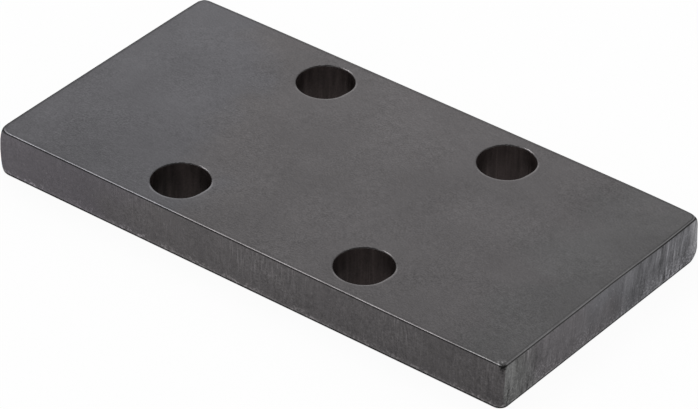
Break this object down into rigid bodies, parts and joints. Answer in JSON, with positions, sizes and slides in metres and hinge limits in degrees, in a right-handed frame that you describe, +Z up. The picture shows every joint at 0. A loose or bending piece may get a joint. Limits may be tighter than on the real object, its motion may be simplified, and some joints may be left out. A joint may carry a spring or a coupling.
{
  "type": "adapter plate",
  "caption": "Flat rectangular plate of blackened steel with plain through holes in a square pattern, which bolts a clamp or a tool holder to a base.",
  "frame": {"origin": "centre of the underside, where the plate rests", "axes": "+X along the plate's length, +Y across its width, +Z up out of the top face"},
  "size_m": [0.0992, 0.0508, 0.0079],
  "materials": {
    "black_oxide_steel": "black oxide, matt, with fine grain on the faces and upright shear marks on the sides"
  },
  "bodies": {
    "root": {"plate": "black_oxide_steel"}
  },
  "joints": []
}
